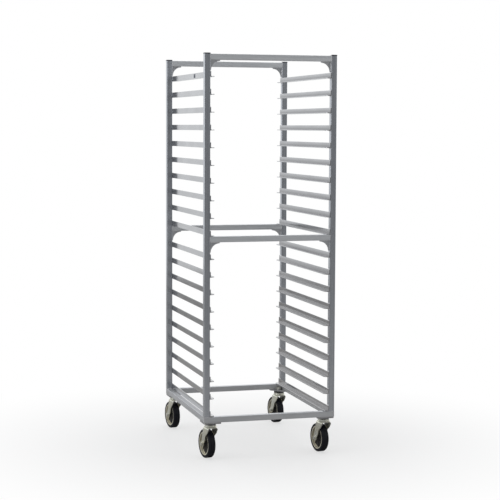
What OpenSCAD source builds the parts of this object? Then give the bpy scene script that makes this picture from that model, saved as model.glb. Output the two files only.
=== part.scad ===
// Mobile open-frame pan rack: four tube posts on a tube base, twenty pairs of ledges, four swivel casters.
// Millimetres. +Z is up, +X is the rack's right seen from the front, and +Y points to the rear.
// The origin is on the floor, below the centre of the frame.

/* [Frame] */
// Width over the posts
rack_w = 596.9; // [480:0.1:760]
// Depth over the posts
rack_d = 762; // [500:0.1:920]
// Side of the square frame tube
tube = 25.4; // [20:0.1:31]
// Wall of the frame tube
tube_wall = 1.6; // [1.2:0.1:3]
// Outside corner radius of the frame tube
tube_corner = 1.6; // [0.5:0.1:3]

/* [Ledges] */
// Ledge levels above the middle rails
levels_above = 10; // [2:1:11]
// Ledge levels below the middle rails
levels_below = 10; // [2:1:11]
// Height from one level to the next
level_pitch = 76.2; // [62:0.1:110]
// Gap between the base rails and the lowest ledge
lowest_rise = 1.5; // [0:0.1:20]
// Width of a ledge's flat, measured from the post
ledge_flat = 22.2; // [15:0.1:35]
// Height of a ledge's upright leg
ledge_leg = 24; // [16:0.1:32]
// Thickness of the ledge angle
ledge_t = 3.2; // [2:0.1:5]
// Fillet in the inside corner of the ledge angle
ledge_fillet = 1.6; // [0.5:0.1:3]
// Corner radius at the free ends of a ledge's flat
ledge_end_r = 18; // [2:0.1:19]

/* [Brackets] */
// Gap between a middle gusset's foot and the ledge below it
middle_gusset_gap = 7.2; // [1:0.1:9]
// Gap between a top gusset's foot and the ledge below it
top_gusset_gap = 3.7; // [1:0.1:20]
// Blunt end of a gusset's leg
gusset_end = 5; // [3:0.1:8]
// Thickness of a gusset
gusset_t = 6; // [3:0.1:12]
// How far a caster plate reaches past the swivel axis, along the base rails
plate_reach = 39; // [30:0.1:60]
// Distance from the swivel axis to a caster plate's clipped edge
plate_margin = 15.5; // [13:0.1:24]
// Thickness of a caster plate
plate_t = 6.35; // [4:0.05:10]
// Radius of a caster plate's outer corner
plate_corner = 8; // [2:0.1:15]

/* [Trim] */
// Thickness of a post cap's head
cap_t = 5; // [2:0.1:10]
// How far a post cap stands past the tube on each side
cap_overhang = 0.7; // [0:0.1:2]
// Length of a post cap's plug
cap_plug = 16; // [8:0.1:30]
// Length of the data plate
data_plate_l = 25; // [10:0.1:60]
// Height of the data plate
data_plate_h = 18; // [8:0.1:19]
// Thickness of the data plate
data_plate_t = 0.8; // [0.4:0.1:2]
// Distance from the front of the frame to the middle of the data plate
data_plate_y = 290; // [60:0.1:440]

/* [Casters] */
// Wheel diameter
wheel_d = 127; // [100:0.1:152]
// Tread width
wheel_w = 31.75; // [24:0.05:39]
// Thickness of the rubber tyre
tyre_t = 12; // [8:0.1:18]
// Radius of the tyre's shoulders
tyre_shoulder = 5; // [2:0.1:8]
// Gap between a kingpin nut's corners and the base rails
nut_gap = 0.8; // [0.5:0.1:6]
// Distance of the wheel's axle behind the swivel axis
caster_trail = 38; // [25:0.1:50]
// Turn of all four casters at rest, from straight back towards the left
caster_turn = 9; // [0:1:45]
// Diameter of the kingpin
kingpin_d = 12; // [10:0.1:14.4]
// Wall of the kingpin nut at its flats
kingpin_nut_wall = 3.5; // [3:0.1:4.5]
// Height of the kingpin nut
kingpin_nut_h = 10; // [6:0.1:14]
// Outside diameter of the swivel race
race_d = 50; // [46:0.1:58]
// Height of the fixed upper race
race_h = 6.5; // [5:0.1:10]
// Diameter of a swivel ball
ball_d = 6.35; // [5:0.05:7]
// Width of the race outside its ball track
race_edge = 4.7; // [3:0.1:6]
// Number of swivel balls
ball_count = 14; // [8:1:16]
// Diameter of the fork's crown
crown_d = 56; // [52:0.1:62]
// Height of the fork's crown above its bridge
crown_h = 10.6; // [7:0.1:14]
// Radius of the crown's upper edge
crown_edge_r = 2.5; // [1:0.1:4]
// Sheet thickness of the fork
fork_t = 3.5; // [2.5:0.1:4.5]
// Outside bend radius of the fork's shoulders
fork_bend = 10; // [6:0.1:14]
// How far the fork's full width reaches below its bridge
fork_skirt = 8; // [4:0.1:14]
// Radius of the hollow in the front edge of the fork's legs
fork_sweep_r = 40; // [36:0.1:44]
// Gap between the tyre and the bridge of the fork
fork_headroom = 14; // [9:0.1:25]
// Radius of the fork leg's lower end
fork_end_r = 13; // [11:0.1:18]
// Diameter of the axle bolt
axle_d = 9.5; // [8:0.1:11]
// Width of the axle bolt's head and nut past the bolt, at their flats
axle_head_wall = 3.3; // [2.5:0.1:5]
// Thickness of the axle bolt's head and nut
axle_head_h = 6.5; // [4:0.1:9]
// Wall of the bearing sleeve that turns inside the hub
sleeve_wall = 3; // [2:0.1:4]
// Wall of the wheel's hub
hub_wall = 7; // [4:0.1:10]
// Thickness of the wheel's web
web_t = 9; // [5:0.1:14]
// Thickness of the wheel's rim
rim_t = 5; // [3:0.1:8]
// How far the rim's faces lie inside the tyre's
rim_inset = 1; // [0:0.1:3]
// Radius of the two grooves round the tread
tread_groove_r = 1.2; // [0.5:0.1:2]

/* [Clearances] */
// Running clearance on the radius of a turning fit
running_fit = 0.06; // [0.02:0.01:0.1]
// Clearance on the radius of a bolt in a fixed hole
bolt_fit = 0.15; // [0.05:0.01:0.4]
// Gap between faces that turn past each other
turning_gap = 0.5; // [0.3:0.1:1]
// Gap between the wheel and the fork's legs
wheel_side_gap = 4; // [2:0.1:8]
// Gap between a post cap's plug and the tube
plug_gap = 0.15; // [0.05:0.01:0.5]

/* [Hidden] */
eps = 0.01;
// How far a cutting shape reaches past what it cuts
cut = 1;
// Sides of an ordinary circle, then of the large ones, the tyre, its grooves and a cut corner
$fn = 48;
fine_fn = 96;
tyre_fn = 128;
groove_fn = 32;
corner_fn = 64;

// Heights, counted up from the floor
wheel_r = wheel_d / 2;
bridge_under_z = wheel_d + fork_headroom;
bridge_top_z = bridge_under_z + fork_t;
crown_top_z = bridge_top_z + crown_h;
race_under_z = crown_top_z + turning_gap;
plate_under_z = race_under_z + race_h;
base_z = plate_under_z + plate_t;
base_top_z = base_z + tube;
lowest_under_z = base_top_z + lowest_rise;
below_top_under_z = lowest_under_z + (levels_below - 1) * level_pitch;
middle_rail_top_z = below_top_under_z + level_pitch + tube;
highest_under_z = middle_rail_top_z + (levels_above - 1) * level_pitch;
gusset_leg = level_pitch - ledge_leg - middle_gusset_gap;
top_rail_z = highest_under_z + ledge_leg + top_gusset_gap + gusset_leg;
post_top_z = top_rail_z + tube;

// Half spans and spans
half_w = rack_w / 2;
half_d = rack_d / 2;
rail_span = rack_w - 2 * tube;
tube_bore = tube - 2 * tube_wall;
post_h = post_top_z - base_top_z;
kingpin_nut_af = kingpin_d + 2 * kingpin_nut_wall;
swivel_inset = tube + kingpin_nut_af / 2 / cos(30) + nut_gap;
swivel_x = half_w - swivel_inset;
swivel_y = half_d - swivel_inset;

// Caster plates
plate_leg = swivel_inset + plate_reach;
plate_end = 2 * swivel_inset + plate_margin * sqrt(2) - plate_leg;

// Caster pieces
axle_head_af = axle_d + 2 * axle_head_wall;
fork_inner = wheel_w / 2 + wheel_side_gap;
fork_outer = fork_inner + fork_t;
sleeve_r = axle_d / 2 + bolt_fit + sleeve_wall;
hub_bore_r = sleeve_r + running_fit;
hub_r = hub_bore_r + hub_wall;
core_r = wheel_r - tyre_t;
hub_half = fork_inner - turning_gap;
rim_half = wheel_w / 2 - rim_inset;
tread_groove_x = wheel_w / 6;
race_bore_r = kingpin_d / 2 + bolt_fit;
crown_bore_r = kingpin_d / 2 + running_fit;
ball_ring_r = race_d / 2 - race_edge - ball_d / 2;
ball_z = crown_top_z + turning_gap / 2;
kingpin_head_lip = 4;
kingpin_head_d = kingpin_d + 2 * kingpin_head_lip;
kingpin_head_h = 4;
bolt_tail = 3;

// The upper ledges' levels, then the lower ones, each counted upwards
function upper_level_z(i) = middle_rail_top_z + i * level_pitch;
function lower_level_z(i) = lowest_under_z + i * level_pitch;

// ---- Shared shapes ----

// A square centred on the origin with its corners rounded
module rounded_square(side, r) {
  square([side, side - 2 * r], center = true);
  square([side - 2 * r, side], center = true);
  for (x = [-1, 1], y = [-1, 1]) {
    translate([x * (side / 2 - r), y * (side / 2 - r)]) circle(r);
  }
}

// The waste between a right-angled corner at the origin and an arc that touches both its sides
module corner_cut(r) {
  difference() {
    square(r);
    translate([r, r]) circle(r, $fn = corner_fn);
  }
}

// A length of frame tube that stands on z = 0 with its axis on the Z axis
module frame_tube(length) {
  linear_extrude(length) {
    difference() {
      rounded_square(tube, tube_corner);
      square(tube_bore, center = true);
    }
  }
}

// A length of frame tube along X, centred on the origin
module frame_tube_x(length) {
  translate([-length / 2, 0, 0]) rotate([0, 90, 0]) frame_tube(length);
}

// ---- Frame ----

// A post at one corner: x_side and y_side are -1 or 1
module post(x_side, y_side) {
  color([0.62, 0.63, 0.65])
    translate([x_side * (half_w - tube / 2), y_side * (half_d - tube / 2), base_top_z])
      frame_tube(post_h);
}

// A moulded cap that closes the top of a post, with its plug in the tube
module post_cap() {
  head = tube + 2 * cap_overhang;
  plug = tube_bore - 2 * plug_gap;
  linear_extrude(cap_t) rounded_square(head, tube_corner + cap_overhang);
  translate([-plug / 2, -plug / 2, -cap_plug]) cube([plug, plug, cap_plug + eps]);
}

module post_caps() {
  color([0.12, 0.14, 0.2]) {
    for (x = [-1, 1], y = [-1, 1]) {
      translate([x * (half_w - tube / 2), y * (half_d - tube / 2), post_top_z]) post_cap();
    }
  }
}

// A rail between two posts, across the front or the rear, with its underside at z
module cross_rail(y_side, z) {
  color([0.66, 0.67, 0.68])
    translate([0, y_side * (half_d - tube / 2), z + tube / 2]) frame_tube_x(rail_span);
}

// A length of frame tube along X whose ends are mitred; its long face looks to -Y
module mitred_tube(length) {
  h = tube / 2 + cut;
  difference() {
    frame_tube_x(length);
    for (end = [0, 1]) {
      mirror([end, 0, 0])
        translate([length / 2 - tube / 2, 0, -h]) linear_extrude(2 * h) polygon([
          [h, -h], [tube, -h], [tube, h], [-h, h]
        ]);
    }
  }
}

// A base rail whose outer face is at reach from the origin; turn 0 is the front one
module base_rail(turn, length, reach) {
  color([0.6, 0.61, 0.62])
    rotate([0, 0, turn])
      translate([0, tube / 2 - reach, base_z + tube / 2]) mitred_tube(length);
}

// ---- Brackets ----

// A gusset's outline: two legs in a corner at the origin, joined by a hollow arc
module gusset_outline() {
  difference() {
    square(gusset_leg);
    translate([gusset_leg, gusset_leg]) circle(gusset_leg - gusset_end, $fn = fine_fn);
  }
}

// The two gussets under a cross rail, one against each post
module gusset_pair(y_side, rail_under_z) {
  color([0.6, 0.61, 0.63])
    for (side = [0, 1]) {
      mirror([side, 0, 0])
        translate([-rail_span / 2, y_side * (half_d - tube / 2) + gusset_t / 2, rail_under_z])
          rotate([90, 0, 0])
            linear_extrude(gusset_t) mirror([0, 1]) gusset_outline();
    }
}

// A caster plate's outline, in the corner at the origin, with its inner corner clipped
module plate_outline() {
  difference() {
    polygon([
      [0, plate_corner], [plate_corner, 0], [plate_leg, 0], [plate_leg, plate_end],
      [plate_end, plate_leg], [0, plate_leg]
    ]);
    translate([swivel_inset, swivel_inset]) circle(kingpin_d / 2 + bolt_fit);
  }
  translate([plate_corner, plate_corner]) circle(plate_corner);
}

module caster_plate(x_side, y_side) {
  color([0.6, 0.61, 0.62])
    translate([x_side * half_w, y_side * half_d, plate_under_z])
      mirror([x_side > 0 ? 1 : 0, 0, 0])
        mirror([0, y_side > 0 ? 1 : 0, 0])
          linear_extrude(plate_t) plate_outline();
}

// ---- Ledges ----

// The flat of a ledge in plan, with its free corners rounded
module ledge_flat_outline() {
  r = min(ledge_end_r, ledge_flat - ledge_t);
  difference() {
    square([ledge_flat, rack_d]);
    for (end = [0, 1]) {
      translate([ledge_flat, end * rack_d]) mirror([0, end]) rotate(90) corner_cut(r);
    }
  }
}

// One ledge: its back is the plane x = 0, its flat points to +X and lies on z = 0
module ledge() {
  linear_extrude(ledge_t) ledge_flat_outline();
  cube([ledge_t, rack_d, ledge_leg]);
  fillet_l = rack_d - 2 * ledge_end_r;
  translate([ledge_t, ledge_end_r + fillet_l, ledge_t])
    rotate([90, 0, 0]) linear_extrude(fillet_l) corner_cut(ledge_fillet);
}

module left_ledge(z) {
  translate([-half_w + tube, -half_d, z]) ledge();
}

module right_ledge(z) {
  mirror([1, 0, 0]) left_ledge(z);
}

module left_upper_ledges() {
  color([0.72, 0.72, 0.73]) for (i = [0 : levels_above - 1]) left_ledge(upper_level_z(i));
}

module left_lower_ledges() {
  color([0.7, 0.69, 0.68]) for (i = [0 : levels_below - 1]) left_ledge(lower_level_z(i));
}

module right_upper_ledges() {
  color([0.72, 0.72, 0.73]) for (i = [0 : levels_above - 1]) right_ledge(upper_level_z(i));
}

module right_lower_ledges() {
  color([0.7, 0.69, 0.68]) for (i = [0 : levels_below - 1]) right_ledge(lower_level_z(i));
}

// A blank data plate on the outer face of the highest left ledge
module data_plate() {
  color([0.13, 0.15, 0.22])
    translate([
      -half_w + tube - data_plate_t,
      -half_d + data_plate_y - data_plate_l / 2,
      highest_under_z + (ledge_leg - data_plate_h) / 2
    ])
      cube([data_plate_t, data_plate_l, data_plate_h]);
}

// ---- Casters ----
// Each caster piece is drawn with its swivel axis on the Z axis and its wheel trailing to +Y.

// Moves a caster piece to one corner, and turns it about its swivel axis
module at_swivel(x_side, y_side, turn = 0) {
  translate([x_side * swivel_x, y_side * swivel_y, 0]) rotate([0, 0, turn]) children();
}

// Moves a wheel piece, made about the Z axis, to the axle with its axis along X
module at_axle() {
  translate([0, caster_trail, wheel_r]) rotate([0, 90, 0]) children();
}

// A hexagon of the given size across its flats
module hexagon(across_flats) {
  circle(across_flats / 2 / cos(30), $fn = 6);
}

// The kingpin and its nut: the head is under the fork's bridge, the nut on the caster plate
module kingpin() {
  head_z = bridge_under_z - turning_gap - kingpin_head_h;
  pin_top_z = base_z + kingpin_nut_h + bolt_tail;
  color([0.55, 0.56, 0.57]) {
    translate([0, 0, head_z]) cylinder(h = kingpin_head_h, d = kingpin_head_d);
    translate([0, 0, head_z + eps]) cylinder(h = pin_top_z - head_z - eps, d = kingpin_d);
  }
  color([0.3, 0.31, 0.33])
    translate([0, 0, base_z])
      linear_extrude(kingpin_nut_h) difference() {
        hexagon(kingpin_nut_af);
        circle(kingpin_d / 2 + bolt_fit);
      }
}

// The ring of space that the swivel balls run in, with the given gap round a ball
module ball_track(gap) {
  translate([0, 0, ball_z])
    rotate_extrude($fn = fine_fn) translate([ball_ring_r, 0]) circle(ball_d / 2 + gap);
}

// The fixed race under the caster plate
module upper_race() {
  color([0.5, 0.5, 0.48])
    difference() {
      translate([0, 0, race_under_z]) cylinder(h = race_h, d = race_d, $fn = fine_fn);
      translate([0, 0, race_under_z - eps]) cylinder(h = race_h + 2 * eps, r = race_bore_r);
      ball_track(turning_gap / 2);
    }
}

// The balls that carry the fork
module race_balls() {
  color([0.75, 0.75, 0.77])
    for (i = [0 : ball_count - 1]) {
      rotate([0, 0, i * 360 / ball_count])
        translate([ball_ring_r, 0, ball_z]) sphere(d = ball_d);
    }
}

// The fork's section across the wheel: an upside-down U of bent sheet
module fork_section() {
  low_z = wheel_r - fork_end_r;
  module arch(half_width, top_z, bend) {
    translate([-half_width, low_z]) square([2 * half_width, top_z - low_z - bend]);
    translate([-half_width + bend, low_z]) square([2 * (half_width - bend), top_z - low_z]);
    for (x = [-1, 1]) {
      translate([x * (half_width - bend), top_z - bend]) circle(bend);
    }
  }
  difference() {
    arch(fork_outer, bridge_top_z, fork_bend);
    translate([0, -eps]) arch(fork_inner, bridge_under_z, fork_bend - fork_t);
  }
}

// The fork seen from its side, where x is the distance behind the swivel axis
module fork_side_outline() {
  shoulder_z = bridge_under_z - fork_skirt;
  front = crown_d / 2;
  difference() {
    polygon([
      [-front, bridge_top_z + eps], [-front, shoulder_z],
      [caster_trail - fork_end_r, wheel_r], [caster_trail + fork_end_r, wheel_r],
      [front, shoulder_z], [front, bridge_top_z + eps]
    ]);
    translate([-front, wheel_r + fork_end_r]) circle(fork_sweep_r, $fn = fine_fn);
  }
  translate([caster_trail, wheel_r]) circle(fork_end_r);
}

// The fork: a bent sheet with a round crown that holds the lower race
module fork() {
  color([0.8, 0.79, 0.72])
    difference() {
      union() {
        intersection() {
          translate([0, caster_trail + wheel_d, 0])
            rotate([90, 0, 0]) linear_extrude(2 * wheel_d + caster_trail) fork_section();
          rotate([90, 0, 90])
            translate([0, 0, -fork_outer - cut]) linear_extrude(2 * (fork_outer + cut)) fork_side_outline();
        }
        translate([0, 0, bridge_top_z - eps]) crown_boss();
      }
      translate([0, 0, bridge_under_z - cut])
        cylinder(h = fork_t + crown_h + 2 * cut, r = crown_bore_r);
      ball_track(eps);
      at_axle() translate([0, 0, -fork_outer - cut])
        cylinder(h = 2 * (fork_outer + cut), r = axle_d / 2 + bolt_fit);
    }
}

// The round crown on the fork's bridge, with a rounded upper edge
module crown_boss() {
  r = crown_edge_r;
  rotate_extrude($fn = fine_fn) {
    square([crown_d / 2, crown_h - r + eps]);
    square([crown_d / 2 - r, crown_h + eps]);
    translate([crown_d / 2 - r, crown_h - r + eps]) circle(r);
  }
}

// The bolt through the fork's legs and the sleeve, with its nut
module axle_bolt() {
  shank_l = 2 * fork_outer + axle_head_h + bolt_tail;
  color([0.8, 0.8, 0.76])
    at_axle() {
      translate([0, 0, -fork_outer - axle_head_h]) linear_extrude(axle_head_h) hexagon(axle_head_af);
      translate([0, 0, -fork_outer - eps]) cylinder(h = shank_l, d = axle_d);
      translate([0, 0, fork_outer])
        linear_extrude(axle_head_h) difference() {
          hexagon(axle_head_af);
          circle(axle_d / 2 + bolt_fit);
        }
    }
}

// The sleeve that the bolt clamps between the fork's legs, and that the wheel turns on
module bearing_sleeve() {
  color([0.55, 0.54, 0.5])
    at_axle() difference() {
      translate([0, 0, -fork_inner]) cylinder(h = 2 * fork_inner, r = sleeve_r);
      translate([0, 0, -fork_inner - cut])
        cylinder(h = 2 * (fork_inner + cut), r = axle_d / 2 + bolt_fit);
    }
}

// The wheel's moulded core: a hub, a web and a rim
module wheel_core() {
  color([0.82, 0.78, 0.62])
    at_axle() rotate_extrude($fn = fine_fn) {
      translate([hub_bore_r, -hub_half]) square([hub_wall, 2 * hub_half]);
      translate([hub_r - cut, -web_t / 2]) square([core_r - hub_r, web_t]);
      translate([core_r - rim_t, -rim_half]) square([rim_t, 2 * rim_half]);
    }
}

// The rubber tyre, with rounded shoulders and two fine grooves round its tread
module tyre() {
  half = wheel_w / 2;
  color([0.09, 0.09, 0.11])
    at_axle() rotate_extrude($fn = tyre_fn) {
      difference() {
        union() {
          translate([core_r, -half]) square([tyre_t - tyre_shoulder, 2 * half]);
          translate([core_r, -half + tyre_shoulder])
            square([tyre_t, 2 * (half - tyre_shoulder)]);
          for (z = [-1, 1]) {
            translate([wheel_r - tyre_shoulder, z * (half - tyre_shoulder)]) circle(tyre_shoulder);
          }
        }
        for (z = [-1, 1]) translate([wheel_r, z * tread_groove_x]) circle(tread_groove_r, $fn = groove_fn);
      }
    }
}

post(-1, -1);  // front_left_post
post(1, -1);  // front_right_post
post(-1, 1);  // rear_left_post
post(1, 1);  // rear_right_post
post_caps();
cross_rail(-1, top_rail_z);  // top_front_rail
cross_rail(1, top_rail_z);  // top_rear_rail
cross_rail(-1, middle_rail_top_z - tube);  // middle_front_rail
cross_rail(1, middle_rail_top_z - tube);  // middle_rear_rail
base_rail(0, rack_w, half_d);  // base_front_rail
base_rail(180, rack_w, half_d);  // base_rear_rail
base_rail(-90, rack_d, half_w);  // base_left_rail
base_rail(90, rack_d, half_w);  // base_right_rail
gusset_pair(-1, top_rail_z);  // top_front_gussets
gusset_pair(1, top_rail_z);  // top_rear_gussets
gusset_pair(-1, middle_rail_top_z - tube);  // middle_front_gussets
gusset_pair(1, middle_rail_top_z - tube);  // middle_rear_gussets
caster_plate(-1, -1);  // front_left_caster_plate
caster_plate(1, -1);  // front_right_caster_plate
caster_plate(-1, 1);  // rear_left_caster_plate
caster_plate(1, 1);  // rear_right_caster_plate
left_upper_ledges();
left_lower_ledges();
right_upper_ledges();
right_lower_ledges();
data_plate();

// ---- Caster nodes ----
at_swivel(-1, -1) kingpin();  // front_left_kingpin
at_swivel(-1, -1) upper_race();  // front_left_upper_race
at_swivel(-1, -1, caster_turn) race_balls();  // front_left_race_balls
at_swivel(-1, -1, caster_turn) fork();  // front_left_fork
at_swivel(-1, -1, caster_turn) axle_bolt();  // front_left_axle_bolt
at_swivel(-1, -1, caster_turn) bearing_sleeve();  // front_left_bearing_sleeve
at_swivel(-1, -1, caster_turn) wheel_core();  // front_left_wheel_core
at_swivel(-1, -1, caster_turn) tyre();  // front_left_tyre
at_swivel(1, -1) kingpin();  // front_right_kingpin
at_swivel(1, -1) upper_race();  // front_right_upper_race
at_swivel(1, -1, caster_turn) race_balls();  // front_right_race_balls
at_swivel(1, -1, caster_turn) fork();  // front_right_fork
at_swivel(1, -1, caster_turn) axle_bolt();  // front_right_axle_bolt
at_swivel(1, -1, caster_turn) bearing_sleeve();  // front_right_bearing_sleeve
at_swivel(1, -1, caster_turn) wheel_core();  // front_right_wheel_core
at_swivel(1, -1, caster_turn) tyre();  // front_right_tyre
at_swivel(-1, 1) kingpin();  // rear_left_kingpin
at_swivel(-1, 1) upper_race();  // rear_left_upper_race
at_swivel(-1, 1, caster_turn) race_balls();  // rear_left_race_balls
at_swivel(-1, 1, caster_turn) fork();  // rear_left_fork
at_swivel(-1, 1, caster_turn) axle_bolt();  // rear_left_axle_bolt
at_swivel(-1, 1, caster_turn) bearing_sleeve();  // rear_left_bearing_sleeve
at_swivel(-1, 1, caster_turn) wheel_core();  // rear_left_wheel_core
at_swivel(-1, 1, caster_turn) tyre();  // rear_left_tyre
at_swivel(1, 1) kingpin();  // rear_right_kingpin
at_swivel(1, 1) upper_race();  // rear_right_upper_race
at_swivel(1, 1, caster_turn) race_balls();  // rear_right_race_balls
at_swivel(1, 1, caster_turn) fork();  // rear_right_fork
at_swivel(1, 1, caster_turn) axle_bolt();  // rear_right_axle_bolt
at_swivel(1, 1, caster_turn) bearing_sleeve();  // rear_right_bearing_sleeve
at_swivel(1, 1, caster_turn) wheel_core();  // rear_right_wheel_core
at_swivel(1, 1, caster_turn) tyre();  // rear_right_tyre
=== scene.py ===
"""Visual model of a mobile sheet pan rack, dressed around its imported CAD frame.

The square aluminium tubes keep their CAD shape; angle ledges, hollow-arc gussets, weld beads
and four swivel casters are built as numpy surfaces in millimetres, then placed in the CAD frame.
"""
import logging
import math
from dataclasses import dataclass
from enum import Enum

import bmesh
import bpy
import numpy as np
from mathutils import Matrix, Vector


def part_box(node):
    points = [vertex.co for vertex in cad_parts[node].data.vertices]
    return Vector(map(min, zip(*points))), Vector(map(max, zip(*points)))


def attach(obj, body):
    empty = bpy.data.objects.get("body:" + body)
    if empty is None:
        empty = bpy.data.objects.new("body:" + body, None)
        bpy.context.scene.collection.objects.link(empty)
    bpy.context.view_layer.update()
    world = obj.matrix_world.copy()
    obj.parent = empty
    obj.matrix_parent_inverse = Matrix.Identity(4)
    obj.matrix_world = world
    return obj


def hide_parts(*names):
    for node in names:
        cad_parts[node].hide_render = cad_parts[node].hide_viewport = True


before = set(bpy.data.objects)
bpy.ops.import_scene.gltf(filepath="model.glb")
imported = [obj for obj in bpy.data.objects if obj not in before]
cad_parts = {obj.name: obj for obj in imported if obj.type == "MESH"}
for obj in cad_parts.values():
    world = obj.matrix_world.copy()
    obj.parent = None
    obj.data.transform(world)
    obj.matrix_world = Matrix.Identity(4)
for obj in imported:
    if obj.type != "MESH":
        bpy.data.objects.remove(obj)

LOG = logging.getLogger("pan_rack")
MM = 0.001
Colour = tuple[float, float, float]
Vec = tuple[float, float, float]
Pair = tuple[float, float]
X, Y, Z = 0, 1, 2
CORNER_STEPS = 5
BEAD_STEP = 1.7
BEAD_FACETS = 9
BEAD_RINGS = 2.5
BEAD_LEAST = 8
BEAD_SWELL = 0.2
BEAD_DRAW = (0.93, 1.0)
BEAD_TAPER = 0.02
MERGE = 2e-6
SMOOTH = 35.0
WELD_SMOOTH = 60.0
CASTER_SMOOTH = 40.0


# ---- Surfaces ----

class Side(Enum):
    """Left or right of the rack, seen from the front."""

    LEFT = -1
    RIGHT = 1


class End(Enum):
    """Front or rear of the rack."""

    FRONT = -1
    REAR = 1


@dataclass
class Surface:
    """Points in millimetres, the faces that join them, and how worn each point is (0 to 1)."""

    points: np.ndarray
    faces: list[list[int]]
    wear: np.ndarray

    def moved(self, x: float = 0.0, y: float = 0.0, z: float = 0.0) -> "Surface":
        """The same surface shifted by x, y and z."""
        return Surface(self.points + np.array([x, y, z]), self.faces, self.wear)

    def mirrored(self, axis: int, turn_faces: bool = True) -> "Surface":
        """The same surface mirrored in the plane through the origin across one axis.

        Args:
            axis: 0, 1 or 2 for X, Y or Z.
            turn_faces: whether the faces are turned round, so that they still point outwards.

        Returns:
            The mirrored surface.
        """
        factors = np.where(np.arange(3) == axis, -1.0, 1.0)
        faces = [face[::-1] for face in self.faces] if turn_faces else self.faces
        return Surface(self.points * factors, faces, self.wear)

    def turned(self, degrees: float) -> "Surface":
        """The same surface turned about the Z axis."""
        c, s = math.cos(math.radians(degrees)), math.sin(math.radians(degrees))
        matrix = np.array([[c, s, 0], [-s, c, 0], [0, 0, 1.0]])
        return Surface(self.points @ matrix, self.faces, self.wear)

    def swapped(self, order: tuple[int, int, int]) -> "Surface":
        """The same surface with its axes put in another order."""
        return Surface(self.points[:, list(order)], self.faces, self.wear)


def joined(parts: list[Surface]) -> Surface:
    """Several surfaces as one.

    Args:
        parts: the surfaces.

    Returns:
        One surface that holds them all.
    """
    starts = np.cumsum([0] + [len(part.points) for part in parts])
    faces = [[i + start for i in face]
             for part, start in zip(parts, starts.tolist()) for face in part.faces]
    points = np.concatenate([part.points for part in parts])
    return Surface(points, faces, np.concatenate([part.wear for part in parts]))


def grid(points: np.ndarray, wear: np.ndarray, loop_rows: bool, loop_columns: bool) -> Surface:
    """Quads over a grid: quad (i, j) joins points (i, j), (i, j + 1), (i + 1, j + 1), (i + 1, j).

    Args:
        points: rows by columns by 3.
        wear: wear of each point, rows by columns or anything that spreads over it.
        loop_rows: whether the last row joins the first.
        loop_columns: whether the last column joins the first.

    Returns:
        The surface.
    """
    rows, columns = points.shape[:2]
    index = np.arange(rows * columns).reshape(rows, columns)
    if loop_rows:
        index = np.vstack([index, index[:1]])
    if loop_columns:
        index = np.hstack([index, index[:, :1]])
    quads = np.stack([index[:-1, :-1], index[:-1, 1:], index[1:, 1:], index[1:, :-1]], -1)
    spread = np.broadcast_to(wear, (rows, columns)).reshape(-1)
    return Surface(points.reshape(-1, 3), quads.reshape(-1, 4).tolist(), spread.astype(float))


def skin(rings: np.ndarray, wear: np.ndarray) -> Surface:
    """A skin through closed rings along a path, with a flat face over each end.

    Args:
        rings: rings by points by 3.
        wear: wear of each point, as in grid.

    Returns:
        The surface.
    """
    made = grid(rings, wear, loop_rows=False, loop_columns=True)
    count, last = rings.shape[1], len(made.points)
    made.faces += [list(range(count))[::-1], list(range(last - count, last))]
    return made


def lathe(profile: np.ndarray, steps: int, closed: bool, wear: np.ndarray | float = 0.0) -> Surface:
    """A profile of (radius, height) turned round the Z axis: x = r cos a, y = r sin a, z = h.

    Args:
        profile: points by 2.
        steps: how many times the profile is repeated round the axis.
        closed: whether the profile's last point joins its first.
        wear: wear of each profile point.

    Returns:
        The surface.
    """
    angle = np.linspace(0, 2 * np.pi, steps, endpoint=False)[:, None]
    radius, height = profile[:, 0][None], profile[:, 1][None]
    points = np.stack([radius * np.cos(angle), radius * np.sin(angle), height + 0 * angle], -1)
    return grid(points, wear, loop_rows=True, loop_columns=closed)


def inset(outline: np.ndarray, by: float) -> np.ndarray:
    """A counter-clockwise outline moved inwards along the mitre of the two edges at each corner.

    With unit inward normals m and n of the two edges, a corner moves by (m + n) / (1 + m.n).

    Args:
        outline: points by 2.
        by: distance that the edges move.

    Returns:
        The moved outline.
    """
    before = outline - np.roll(outline, 1, 0)
    after = np.roll(outline, -1, 0) - outline
    m, n = (np.stack([-e[:, 1], e[:, 0]], -1) / np.linalg.norm(e, axis=1)[:, None]
            for e in (before, after))
    return outline + by * (m + n) / (1 + (m * n).sum(1))[:, None]


def slab(outline: np.ndarray, low: float, high: float, ease: float, steps: int = 3) -> Surface:
    """A plate of any outline with rounded edges.

    Ring k is the outline inset by ease (1 - sin a) at height ease (1 - cos a) from a face.

    Args:
        outline: points by 2, counter-clockwise.
        low: height of its lower face.
        high: height of its upper face.
        ease: radius of its edges.
        steps: facets on each edge.

    Returns:
        The surface.
    """
    angle = np.linspace(0, np.pi / 2, steps + 1)
    inwards = ease * (1 - np.sin(angle))
    rise = ease * (1 - np.cos(angle))
    layers = [(i, low + r) for i, r in zip(inwards, rise)]
    layers += [(i, high - r) for i, r in zip(inwards[::-1], rise[::-1])]
    rings = np.stack([np.column_stack([inset(outline, i), np.full(len(outline), z)])
                      for i, z in layers])
    ring_wear = np.tile(np.r_[1.0, np.ones(steps - 1), 0.4], 2)
    ring_wear[steps + 1:] = ring_wear[: steps + 1][::-1]
    return skin(rings, ring_wear[:, None])


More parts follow.
